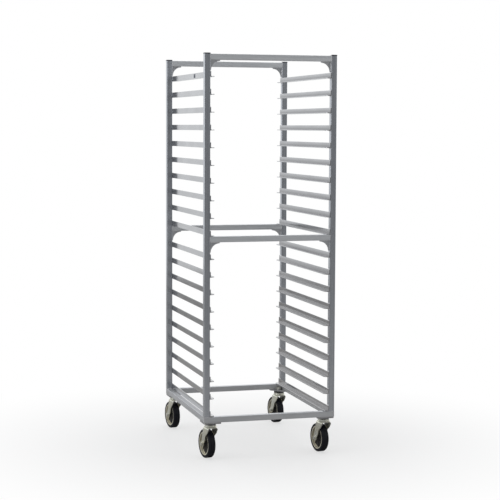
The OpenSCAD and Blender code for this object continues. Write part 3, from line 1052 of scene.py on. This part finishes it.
@dataclass
class DataPlate:
    """A blank dark plate with a raised rim and four small rivets."""

    ease: float = 0.2
    rim: float = 1.2
    rivet_r: float = 1.0
    rivet_inset: float = 2.6

    def build(self) -> None:
        """Build the plate on the ledge's outer face: x is its thickness."""
        low, high = box_mm("data_plate")
        t, length, tall = high - low
        outline = rounded_rectangle(length, tall, 1.4, 5)
        layers = [(0, 0), (0, t * 0.75), (self.ease, t * 0.92), (self.rim, t * 0.92),
                  (self.rim + 0.3, t * 0.6)]
        rings = np.stack([np.column_stack([inset(outline, i), np.full(len(outline), z)])
                          for i, z in layers])
        wear = np.array([0, 0.6, 1, 1, 0.0])[:, None]
        plate = skin(rings, wear)
        dome = np.array([[0, t], [0.5, t * 0.96], [0.85, t * 0.84], [self.rivet_r, t * 0.6]])
        rivet = lathe(dome, 14, closed=False, wear=1.0)
        spots = [(x * (length / 2 - self.rivet_inset), y * (tall / 2 - self.rivet_inset))
                 for x in (-1, 1) for y in (-1, 1)]
        flat = joined([plate] + [rivet.moved(x, y) for x, y in spots])
        points = np.column_stack([-flat.points[:, 2], -flat.points[:, 0], flat.points[:, 1]])
        place = np.array([high[0], (low[1] + high[1]) / 2, (low[2] + high[2]) / 2])
        made = Surface(points + place, flat.faces, flat.wear)
        piece("data_plate_rimmed", made, "frame", PLATE_FOIL, ("data_plate",))


# ---- Casters ----

@dataclass
class Caster:
    """One swivel caster, its swivel axis on Z and its wheel trailing to +Y before it is turned."""

    corner: str
    turn: float = 9.0
    trail: float = 38.0
    wheel_r: float = 63.5
    wheel_w: float = 31.75
    tyre_t: float = 12.0
    shoulder: float = 5.0
    groove_r: float = 1.2
    hub_r: float = 14.96
    hub_bore: float = 7.96
    hub_half: float = 19.375
    rim_t: float = 5.0
    rim_half: float = 14.875
    web: float = 9.0
    fork_inner: float = 19.875
    fork_outer: float = 23.375
    fork_bend: float = 10.0
    fork_end_r: float = 13.0
    fork_sweep_r: float = 40.0
    shoulder_z: float = 133.0
    bridge_under: float = 141.0
    bridge_top: float = 144.5
    crown_r: float = 28.0
    crown_h: float = 10.6
    crown_bore: float = 6.06
    crown_edge: float = 2.5
    ball_ring: float = 17.125
    ball_r: float = 3.175
    ball_z: float = 155.35
    race_r: float = 25.0
    axle_r: float = 4.75
    head_af: float = 16.1
    head_h: float = 6.5
    bolt_tail: float = 3.0
    groove_gaps: tuple[int, int] = (-1, 1)
    ribs: int = 8
    rib_size: Pair = (2.6, 1.2)
    rib_rise: float = 3.4
    edge_ease: float = 0.7
    pressing: float = 1.1
    pressing_from: float = 82.0
    pressing_span: float = 52.0
    edge_ring: tuple[int, ...] = (0, 1, 2, 10, 11, 12, 13, 14, 15, 23, 24, 25)
    washer_t: float = 1.2
    thread_pitch: float = 1.25
    thread_depth: float = 0.35
    bolt_steps: int = 48
    washer_steps: int = 64
    wheel_steps: int = 112
    round_steps: int = 96
    swivel: Pair = (0.0, 0.0)

    def placed(self, made: Surface) -> Surface:
        """Turn a piece about the swivel axis and carry it to its corner."""
        return made.turned(self.turn).moved(*self.swivel)

    def on_axle(self, made: Surface) -> Surface:
        """Lay a piece that was turned about Z along the axle, and place it."""
        return self.placed(made.swapped((Z, Y, X)).moved(0, self.trail, self.wheel_r))

    def name(self, part: str) -> str:
        """The caster's own name for a part."""
        return f"{self.corner}_{part}"

    def tyre(self) -> Surface:
        """Tyre section: flat tread with two grooves, round shoulders and side walls."""
        half, r = self.wheel_w / 2, self.wheel_r
        core, s, g = r - self.tyre_t, self.shoulder, self.groove_r
        spots = [sign * self.wheel_w / 6 for sign in self.groove_gaps]
        grooves = [arc_points((r, x), g, 270, 90, 7) for x in spots]
        ridge = np.array([[core + 1.6, -half], [core + 2.2, -half + 0.35], [core + 4.2, -half + 0.35],
                          [core + 4.8, -half]])
        outer = arc_points((r - s, -half + s), s, -90, 0, 8)
        right = np.concatenate([outer, grooves[0]])
        tread = np.concatenate([right, grooves[1], (arc_points((r - s, half - s), s, 0, 90, 8))])
        back = ridge[::-1] * np.array([1, -1])
        profile = np.concatenate([[[core, -half + 0.4], [core + 0.4, -half]], ridge, tread, back,
                                  [[core + 0.4, half], [core, half - 0.4]]])
        wear = (profile[:, 0] > r - 2.0).astype(float) * 0.8
        return lathe(profile, 128, closed=True, wear=wear[None])

    def rim(self) -> Surface:
        """Rim section: a deep ring under the tyre, with eased lips and a flare down to the web."""
        outer, lip = self.wheel_r - self.tyre_t, self.rim_half
        rim = outer - self.rim_t
        u = np.linspace(0, 1, 6)
        flare = np.stack([rim - 2.6 * u ** 2, self.web / 2 + 2.6 * (1 - u) ** 2], -1)[::-1]
        top = np.concatenate([
            [[rim - 2.6, self.web / 2 - 0.8]], flare,
            [[rim, lip - 0.8], [rim + 0.25, lip - 0.25], [rim + 0.8, lip],
             [outer - 0.6, lip], [outer - 0.02, lip - 0.6]],
        ])
        wear = np.r_[np.zeros(8), 1.0, 1.0, 1.0, 0.6]
        profile = np.concatenate([top, top[::-1] * np.array([1, -1])])
        return lathe(profile, self.wheel_steps, closed=True, wear=np.r_[wear, wear[::-1]][None])

    def hub(self) -> Surface:
        """Hub section and web: half of the web, flared by rib_rise (1 - v)^2 beside the hub."""
        hub, edge = self.hub_r, self.wheel_r - self.tyre_t - self.rim_t - 2.0
        radius = np.linspace(hub, edge, 13)
        v = np.clip((radius - hub) / (0.25 * (edge - hub)), 0, 1)
        web = np.stack([radius, self.web / 2 - 0.4 + self.rib_rise * (1 - v) ** 2], -1)
        top = np.concatenate([
            [[self.hub_bore, self.hub_half - 0.6], [self.hub_bore + 0.6, self.hub_half],
             [hub - 1.0, self.hub_half], [hub - 0.3, self.hub_half - 0.3],
             [hub, self.hub_half - 1.0]], web])
        wear = np.zeros(len(top))
        wear[1:4] = 1.0
        profile = np.concatenate([top, top[::-1] * np.array([1, -1])])
        return lathe(profile, self.round_steps, closed=True, wear=np.r_[wear, wear[::-1]][None])

    def core_ribs(self) -> list[Surface]:
        """Eight low ribs on each side of the web, from the hub to the rim."""
        inner, outer = self.hub_r - 1, self.wheel_r - self.tyre_t - self.rim_t - 1.5
        strip = rounded_rectangle(outer - inner, *self.rib_size, 4)
        strip = strip + np.array([(inner + outer) / 2, 0])
        rib = slab(strip, self.web / 2 - 1, self.web / 2 + self.rib_rise, self.edge_ease)
        return [part.turned(360.0 / self.ribs * k)
                for part in (rib, rib.mirrored(Z)) for k in range(self.ribs)]

    def leg_edges(self, z: np.ndarray) -> tuple[np.ndarray, np.ndarray]:
        """Front and rear edge of the fork's legs at each height.

        Straight edges run from the shoulder down to the round end; the front one is hollowed by
        a circle about (-crown_r, wheel_r + fork_end_r).

        Args:
            z: heights.

        Returns:
            The two edges' places along the trail.
        """
        front, end, r = self.crown_r, self.fork_end_r, self.fork_sweep_r
        u = np.clip((z - self.wheel_r) / (self.shoulder_z - self.wheel_r), 0, 1)
        low = (1 - u) * (self.trail - end) - u * front
        high = (1 - u) * (self.trail + end) + u * front
        hollow = -front + np.sqrt(np.clip(r**2 - (z - self.wheel_r - end) ** 2, 0, None))
        low = np.where(np.abs(z - self.wheel_r - end) < r, np.maximum(low, hollow), low)
        round_end = np.sqrt(np.clip(end**2 - (z - self.wheel_r) ** 2, 0, None))
        near = z < self.wheel_r + end
        low = np.where(near, np.minimum(low, self.trail - round_end), low)
        high = np.where(near, np.maximum(high, self.trail + round_end), high)
        below = z < self.wheel_r
        low = np.where(below, self.trail - round_end, low)
        return low, np.where(below, self.trail + round_end, high)

    def fork(self) -> Surface:
        """The bent sheet: a section across the trail, up one leg, over the bridge and down.

        At path point p with outward normal n, the section runs between the leg's edges, half a
        sheet either side of p, and its middle is pressed outwards between axle and shoulder.
        """
        t = self.fork_outer - self.fork_inner
        mid = (self.fork_inner + self.fork_outer) / 2
        mid_z = (self.bridge_under + self.bridge_top) / 2
        bend = self.fork_bend - t / 2
        end_turn = np.linspace(0.06, np.pi / 2, 10)
        up = np.concatenate([self.wheel_r - self.fork_end_r * np.cos(end_turn),
                             np.linspace(self.wheel_r, mid_z - bend, 24)[1:]])
        leg = np.stack([np.full(len(up), -mid), up], -1)
        leg_n = np.tile([-1.0, 0.0], (len(up), 1))
        turn = np.linspace(np.pi, np.pi / 2, 9)[1:]
        arc_n = np.stack([np.cos(turn), np.sin(turn)], -1)
        arc = np.array([-mid + bend, mid_z - bend]) + bend * arc_n
        path, normal = np.concatenate([leg, arc]), np.concatenate([leg_n, arc_n])
        flip = np.array([-1.0, 1.0])
        path = np.concatenate([path, path[::-1] * flip])
        normal = np.concatenate([normal, normal[::-1] * flip])
        front, rear = self.leg_edges(path[:, 1])
        e = self.edge_ease
        v = np.linspace(0, 1, 9)
        edge = np.array([0.0, e * 0.3, e])
        rise = np.array([t / 2 - e, t / 2 - e * 0.3, t / 2])
        across = np.concatenate([edge, v[1:-1] * 0, -edge[::-1]])
        part = np.concatenate([np.zeros(3), v[1:-1], np.ones(3)])
        out = np.concatenate([rise, np.full(7, t / 2), rise[::-1]])
        swell = np.clip(np.sin(np.pi * part), 0, 1) ** 2
        along = np.clip((path[:, 1] - self.pressing_from) / self.pressing_span, 0, 1)
        rib = self.pressing * np.clip(np.sin(np.pi * along), 0, 1)[:, None] * swell
        width = (rear - front)[:, None]
        ease = np.minimum(1, width / 3)
        y = front[:, None] + part * width + across * ease
        outer_out, inner_out = out + rib, out - rib
        outer = np.stack([path[:, :1] + normal[:, :1] * outer_out, y,
                          path[:, 1:] + normal[:, 1:] * outer_out], -1)
        inner = np.stack([path[:, :1] - normal[:, :1] * inner_out, y,
                          path[:, 1:] - normal[:, 1:] * inner_out], -1)
        rings = np.concatenate([outer, inner[:, ::-1]], 1)
        wear = np.zeros(rings.shape[1])
        wear[list(self.edge_ring)] = 1.0
        return skin(rings, wear[None])

    def crown(self) -> Surface:
        """The round crown on the bridge, with its rounded rim and the ball track in its top."""
        top, r, e = self.bridge_top + self.crown_h, self.crown_r, self.crown_edge
        drop = self.ball_z - top
        reach = math.degrees(math.acos(drop / self.ball_r)) if drop < self.ball_r else 90.0
        track = arc_points((self.ball_ring, self.ball_z), self.ball_r, 270 + reach, 270 - reach, 11)
        profile = np.concatenate([
            [[self.crown_bore, self.bridge_top - 0.5], [r, self.bridge_top - 0.5],
             [r, self.bridge_top + 1.2]],
            arc_points((r, self.bridge_top + 4.2), 3.0, 270, 190, 6),
            arc_points((r - 3.0 - e, top - e), e, 0, 90, 7), track,
            [[self.crown_bore + 0.5, top], [self.crown_bore, top - 0.5]],
        ])
        wear = np.zeros(len(profile))
        wear[9:16] = 1.0
        return lathe(profile, self.round_steps, closed=True, wear=wear[None])

    def upper_race(self) -> Surface:
        """The fixed race: a flat ring with rounded edges and a pressed step in its rim."""
        low, high = box_mm(self.name("upper_race"))
        z0, z1, r, e = low[2], high[2], self.race_r, 0.9
        profile = np.concatenate([
            [[self.crown_bore + 0.1, z0 + 0.3], [self.crown_bore + 0.4, z0]],
            arc_points((r - e, z0 + e), e, 270, 360, 5),
            [[r, z1 - 2.8], [r - 0.5, z1 - 2.4], [r - 0.5, z1 - 0.6], [r - 1.0, z1]],
            [[self.crown_bore + 0.1, z1]],
        ])
        return lathe(profile, self.round_steps, closed=True, wear=0.0).moved(*self.swivel)

    def hexagon_solid(self, across_flats: float, low: float, high: float, both: bool) -> Surface:
        """A chamfered hexagon head or nut: its radius is the smaller of hexagon and cone.

        The hexagon's radius is (flats / 2) / cos(a mod 60 - 30), and the cone's is
        0.97 flats / 2 + 1.75 times the distance to the chamfered face.

        Args:
            across_flats: width between opposite flats.
            low: height of its lower face.
            high: height of its upper face.
            both: whether the lower face is chamfered too.

        Returns:
            The solid, turned about Z.
        """
        angle = np.linspace(0, 2 * np.pi, self.round_steps, endpoint=False)[:, None]
        flat = across_flats / 2
        hexagon = flat / np.cos((angle % (np.pi / 3)) - np.pi / 6)
        z = np.concatenate([np.linspace(low, low + 1.2, 5), np.linspace(high - 1.2, high, 5)])[None]
        cone = flat * 0.97 + 1.75 * (high - z)
        if both:
            cone = np.minimum(cone, flat * 0.97 + 1.75 * (z - low))
        radius = np.minimum(hexagon, cone)
        points = np.stack([radius * np.cos(angle), radius * np.sin(angle), z + 0 * angle], -1)
        ends = points[:, [0, -1]] * np.array([0.0, 0, 1])
        points = np.concatenate([ends[:, :1], points, ends[:, 1:]], 1)
        worn = np.r_[0, np.zeros(6), 1, 1, 1, 1, 0][None]
        return grid(points, worn, loop_rows=True, loop_columns=False)

    def axle_bolt(self) -> Surface:
        """Head, washer, shank and nut, with a turned thread on the tail."""
        out, h = self.fork_outer, self.head_h
        tail = out + h + self.bolt_tail
        thread_z = np.linspace(out + h - 1.0, tail - 0.8, 24)
        wave = np.cos(2 * np.pi * thread_z / self.thread_pitch)
        depth = self.thread_depth
        thread = np.stack([self.axle_r - depth + depth * wave, thread_z], -1)
        shank = np.concatenate([[[0, -out - 1], [self.axle_r, -out - 1]], thread,
                                [[self.axle_r - 1.1, tail], [0, tail]]])
        nut = self.hexagon_solid(self.head_af, out + self.washer_t, out + h, both=False)
        washer = np.array([[0, out - 0.2], [9.6, out - 0.2], [9.9, out + 0.1], [9.9, out + 1.1],
                           [9.6, out + 1.4], [0, out + 1.4]])
        near = lathe(washer, self.washer_steps, closed=False, wear=1.0)
        far = lathe(washer * np.array([1, -1]), self.washer_steps, closed=False, wear=1.0)
        turned = lathe(shank, self.bolt_steps, closed=False)
        return joined([turned, nut.mirrored(Z), nut, near, far])

    def build(self) -> None:
        """Build and dress the whole caster."""
        low, high = box_mm(self.name("upper_race"))
        self.swivel = tuple(((low + high) / 2)[:2].tolist())
        swivel_body, wheel_body = self.name("swivel"), self.name("wheel")
        piece(self.name("tyre_grooved"), self.on_axle(self.tyre()), wheel_body,
              TYRE_RUBBER, (self.name("tyre"),), CASTER_SMOOTH)
        piece(self.name("wheel_rim"), self.on_axle(self.rim()), wheel_body,
              RIM_PLASTIC, (self.name("wheel_core"),), CASTER_SMOOTH)
        # The hub and web take the near-black finish: painted shade of the recess round the hub.
        hub = joined([self.hub()] + self.core_ribs())
        piece(self.name("wheel_hub_ribbed"), self.on_axle(hub), wheel_body,
              HUB_PAINTED_SHADE, smooth=CASTER_SMOOTH)
        fork = self.placed(joined([self.fork(), self.crown()]))
        piece(self.name("fork_pressed"), fork, swivel_body, FORK_ZINC,
              (self.name("fork"),), CASTER_SMOOTH)
        piece(self.name("axle_bolt_turned"), self.on_axle(self.axle_bolt()), swivel_body,
              BOLT_ZINC, (self.name("axle_bolt"),))
        piece(self.name("upper_race_turned"), self.upper_race(), "frame", RACE_STEEL_PAINTED_SHADE,
              (self.name("upper_race"),))
        dress((self.name("race_balls"),), BALL_STEEL)
        dress((self.name("bearing_sleeve"),), SLEEVE_BRONZE)
        dress((self.name("kingpin"),), BOLT_ZINC)
        dress((self.name("caster_plate"),), PLATE_METAL)


# ---- Studio ----

@dataclass
class Studio:
    """Plain pale floor, soft lights, bright surroundings and the camera."""

    position: Vec = (-1.8513, -6.6016, 1.4520)
    yaw: float = 15.771
    pitch: float = 4.69
    roll: float = 0.229
    focal_px: float = 1491.46
    frame_px: float = 500.0
    sensor: float = 36.0
    floor_r: float = 8.0
    white_from: float = 0.3
    white_base: float = 0.6
    white_to: float = 1.7
    back_light: tuple[Pair, Pair] = ((-0.9, 0.9), (0.3, 1.1))
    horizon: tuple[Pair, Pair] = ((-0.04, 0.4), (0.66, 1.2))
    ceiling: tuple[Pair, Pair] = ((0.42, 0.78), (1.0, 0.4))
    far_clip: float = 100.0
    floor_steps: tuple[int, int] = (24, 64)
    lights: tuple[tuple[str, Vec, Vec, Pair, float], ...] = (
        ("overhead", (0.0, 0.3, 4.2), (0, 0, 0.5), (3.5, 3.5), 45),
        ("left_soft", (-4.4, -0.8, 2.4), (0, 0, 1.0), (2.0, 2.6), 34),
        ("front_fill", (4.6, -3.6, 2.6), (0, 0, 0.9), (2.0, 2.4), 24),
    )

    def camera(self) -> None:
        """Aim a camera by yaw towards +X, pitch downwards and roll."""
        yaw, pitch, roll = (math.radians(a) for a in (self.yaw, self.pitch, self.roll))
        forward = np.array([math.sin(yaw) * math.cos(pitch), math.cos(yaw) * math.cos(pitch),
                            -math.sin(pitch)])
        level = np.array([math.cos(yaw), -math.sin(yaw), 0.0])
        upright = np.cross(level, forward)
        right = math.cos(roll) * level + math.sin(roll) * upright
        up = -math.sin(roll) * level + math.cos(roll) * upright
        data = bpy.data.cameras.new("camera")
        data.sensor_width = self.sensor
        data.lens = self.focal_px / self.frame_px * self.sensor
        data.clip_end = self.far_clip
        obj = bpy.data.objects.new("camera", data)
        turn = np.column_stack([right, up, -forward])
        matrix = np.eye(4)
        matrix[:3, :3], matrix[:3, 3] = turn, self.position
        obj.matrix_world = Matrix(matrix.tolist())
        bpy.context.scene.collection.objects.link(obj)
        bpy.context.scene.camera = obj

    def floor(self) -> None:
        """A pale round floor, (r cos a, r sin a, 0), that brightens to white at its edge."""
        rings, spokes = self.floor_steps
        r, a = np.meshgrid(np.linspace(0.0, self.floor_r, rings),
                           np.linspace(0, 2 * np.pi, spokes, endpoint=False))
        flat = grid(np.stack([r * np.cos(a), r * np.sin(a), 0 * r], -1), np.zeros(1),
                    loop_rows=True, loop_columns=False)
        mesh = bpy.data.meshes.new("floor")
        mesh.from_pydata(flat.points.tolist(), [], flat.faces)
        graph = Graph("floor_paint")
        cloud = graph.noise(0.6, 2.0)
        seen = Value(graph, graph.node("ShaderNodeLightPath").outputs["Is Camera Ray"])
        pale = graph.blend(cloud, (0.86, 0.86, 0.86), (0.9, 0.9, 0.9))
        tone = graph.blend(seen, (0.46, 0.45, 0.44), pale)
        normal = graph.bump(graph.noise(300.0, 2.0), 0.02, 0.0005)
        reach = Value(graph, graph.node("ShaderNodeVectorMath", {"operation": "LENGTH"},
                                        {0: graph.place}).outputs["Value"])
        paint = graph.finish(tone, cloud * 0.1 + 0.6, normal, {"Specular IOR Level": 0.2})
        nodes = {node.bl_idname: node for node in graph.tree.nodes}
        glow = graph.node("ShaderNodeEmission", None, {"Color": (1, 1, 1, 1), "Strength": 1.0})
        fade = reach.above(self.white_from, self.white_to) * (1 - self.white_base)
        fade = (fade + self.white_base) * seen
        mix = graph.node("ShaderNodeMixShader", None, {
            0: fade, 1: nodes["ShaderNodeBsdfPrincipled"].outputs[0], 2: glow.outputs[0]})
        graph.tree.links.new(mix.outputs[0], nodes["ShaderNodeOutputMaterial"].inputs["Surface"])
        mesh.materials.append(paint)
        obj = bpy.data.objects.new("floor", mesh)
        bpy.context.scene.collection.objects.link(obj)

    def surroundings(self) -> None:
        """White to the camera; for the metal, bright behind the rack and dimmer elsewhere."""
        world = bpy.data.worlds.new("studio")
        bpy.context.scene.world = world
        world.use_nodes = True
        tree = world.node_tree
        tree.nodes.clear()
        new, link = tree.nodes.new, tree.links.new
        place, split = new("ShaderNodeTexCoord"), new("ShaderNodeSeparateXYZ")
        link(place.outputs["Generated"], split.inputs[0])

        def ramp(axis: str, span: Pair, given: Pair) -> bpy.types.NodeSocket:
            """A strength that changes along one axis of the direction.

            Args:
                axis: X, Y or Z.
                span: where on the axis it starts and stops changing.
                given: its value at each end of the span.

            Returns:
                The strength.
            """
            node = new("ShaderNodeMapRange")
            link(split.outputs[axis], node.inputs["Value"])
            for key, value in zip(("From Min", "From Max", "To Min", "To Max"), (*span, *given)):
                node.inputs[key].default_value = value
            return node.outputs[0]

        def product(one: bpy.types.NodeSocket, other: bpy.types.NodeSocket) -> bpy.types.NodeSocket:
            """Two strengths multiplied.

            Args:
                one: the first.
                other: the second.

            Returns:
                Their product.
            """
            node = new("ShaderNodeMath")
            node.operation = "MULTIPLY"
            link(one, node.inputs[0])
            link(other, node.inputs[1])
            return node.outputs[0]

        level = product(ramp("Y", *self.back_light), ramp("Z", *self.horizon))
        strength = product(level, ramp("Z", *self.ceiling))
        seen, lit = new("ShaderNodeBackground"), new("ShaderNodeBackground")
        seen.inputs["Color"].default_value = (1, 1, 1, 1)
        lit.inputs["Color"].default_value = (0.97, 0.985, 1.0, 1)
        link(strength, lit.inputs["Strength"])
        ray, mix = new("ShaderNodeLightPath"), new("ShaderNodeMixShader")
        out = new("ShaderNodeOutputWorld")
        link(ray.outputs["Is Camera Ray"], mix.inputs[0])
        link(lit.outputs[0], mix.inputs[1])
        link(seen.outputs[0], mix.inputs[2])
        link(mix.outputs[0], out.inputs["Surface"])

    def light(self, name: str, at: Vec, aim: Vec, size: Pair, watts: float) -> None:
        """A soft rectangular light.

        Args:
            name: its name.
            at: where it hangs.
            aim: the point that it faces.
            size: its width and height.
            watts: its power.
        """
        data = bpy.data.lights.new(name, "AREA")
        data.shape = "RECTANGLE"
        data.size, data.size_y, data.energy = *size, watts
        obj = bpy.data.objects.new(name, data)
        obj.location = at
        obj.rotation_euler = (Vector(aim) - Vector(at)).to_track_quat("-Z", "Y").to_euler()
        obj.visible_camera = False
        bpy.context.scene.collection.objects.link(obj)

    def build(self) -> None:
        """Set up the whole studio."""
        self.camera()
        self.floor()
        self.surroundings()
        for settings in self.lights:
            self.light(*settings)
        view = bpy.context.scene.view_settings
        view.view_transform = "Standard"
        LOG.info("studio: camera, floor, surroundings and three lights")


def main() -> None:
    """Build every sub-assembly in order."""
    logging.basicConfig(level=logging.INFO, format="%(message)s")
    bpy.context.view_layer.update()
    Studio().build()
    TubeFrame().build()
    for side in Side:
        for level in ("upper", "lower"):
            Ledges(f"{side.name.lower()}_{level}_ledges", side).build()
    for level in ("top", "middle"):
        for end in End:
            Gussets(f"{level}_{end.name.lower()}_gussets").build()
    PostCaps().build()
    DataPlate().build()
    for end in End:
        for side in Side:
            Caster(f"{end.name.lower()}_{side.name.lower()}").build()


if __name__ == "__main__":
    main()
